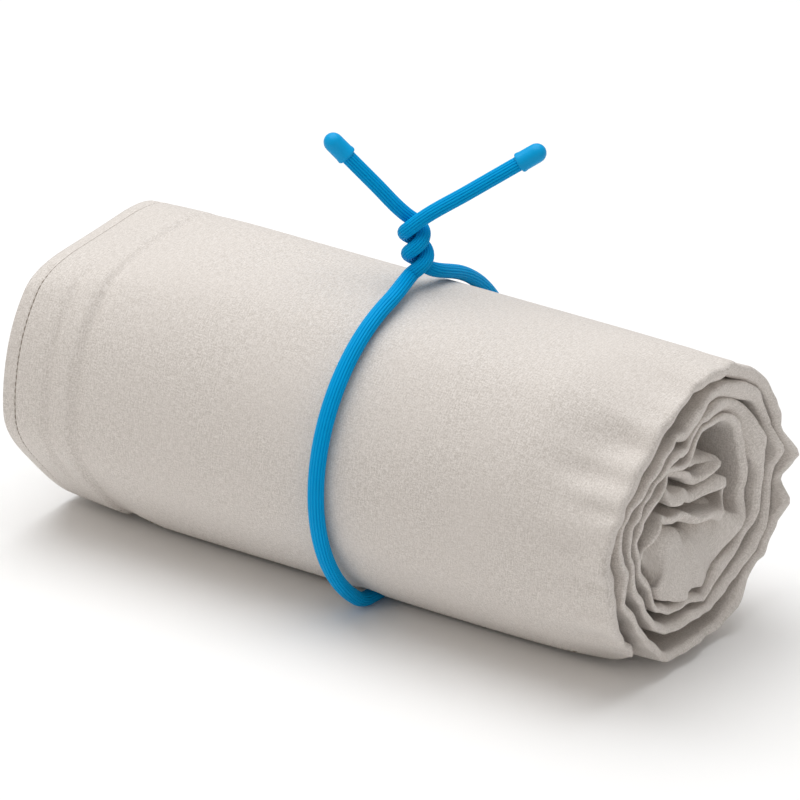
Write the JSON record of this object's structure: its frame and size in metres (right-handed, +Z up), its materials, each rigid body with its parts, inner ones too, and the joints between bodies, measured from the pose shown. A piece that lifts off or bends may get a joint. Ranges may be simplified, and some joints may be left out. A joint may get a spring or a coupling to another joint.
{
  "type": "rolled foam sleeping pad",
  "caption": "Cloth-covered foam sleeping pad, folded lengthways, rolled into a cylinder and held by a twisted rubber-covered wire tie.",
  "frame": {"origin": "centre of the ground face, under the middle of the roll's length and on the ground", "axes": "+X along the roll towards the end with the open folds, -Y the roll's front, +Z up"},
  "size_m": [0.315, 0.1534, 0.2009],
  "materials": {
    "canvas": "matte",
    "foam": "matte",
    "thread": "matte",
    "blue_rubber": "satin",
    "steel_wire": "satin"
  },
  "bodies": {
    "roll": {"pad_cover": "canvas", "cover_underside": "canvas", "foam_core": "foam", "side_hem_stitching": "thread", "end_hem_stitching": "thread"},
    "tie": {"tie_sleeve": "blue_rubber", "tie_core": "steel_wire"},
    "left_tail": {"left_tail_sleeve": "blue_rubber", "left_tail_core": "steel_wire"},
    "left_tip": {"left_tip_sleeve": "blue_rubber", "left_tip_core": "steel_wire", "left_cap": "blue_rubber"},
    "right_tail": {"right_tail_sleeve": "blue_rubber", "right_tail_core": "steel_wire"},
    "right_tip": {"right_tip_sleeve": "blue_rubber", "right_tip_core": "steel_wire", "right_cap": "blue_rubber"}
  },
  "joints": [
    {"name": "tie_slide", "type": "slide", "parent": "roll", "child": "tie", "axis": [1, 0, 0], "range_m": [-0.175, 0.153], "deforming": ["cover_underside"]},
    {"name": "left_tail_bend", "type": "hinge", "parent": "tie", "child": "left_tail", "pos_m": [0.00061, 0.0087, 0.16387], "axis": [-0.5446, 0.8387, 0], "range_deg": [-45, 25]},
    {"name": "left_tip_bend", "type": "hinge", "parent": "left_tail", "child": "left_tip", "pos_m": [-0.01228, 0.00033, 0.18036], "axis": [-0.5446, 0.8387, 0], "range_deg": [-40, 25]},
    {"name": "right_tail_bend", "type": "hinge", "parent": "tie", "child": "right_tail", "pos_m": [0.00982, 0.00556, 0.1642], "axis": [0.5736, -0.8192, 0], "range_deg": [-38, 30]},
    {"name": "right_tip_bend", "type": "hinge", "parent": "right_tail", "child": "right_tip", "pos_m": [0.02995, 0.01965, 0.17956], "axis": [0.5736, -0.8192, 0], "range_deg": [-35, 25]}
  ]
}
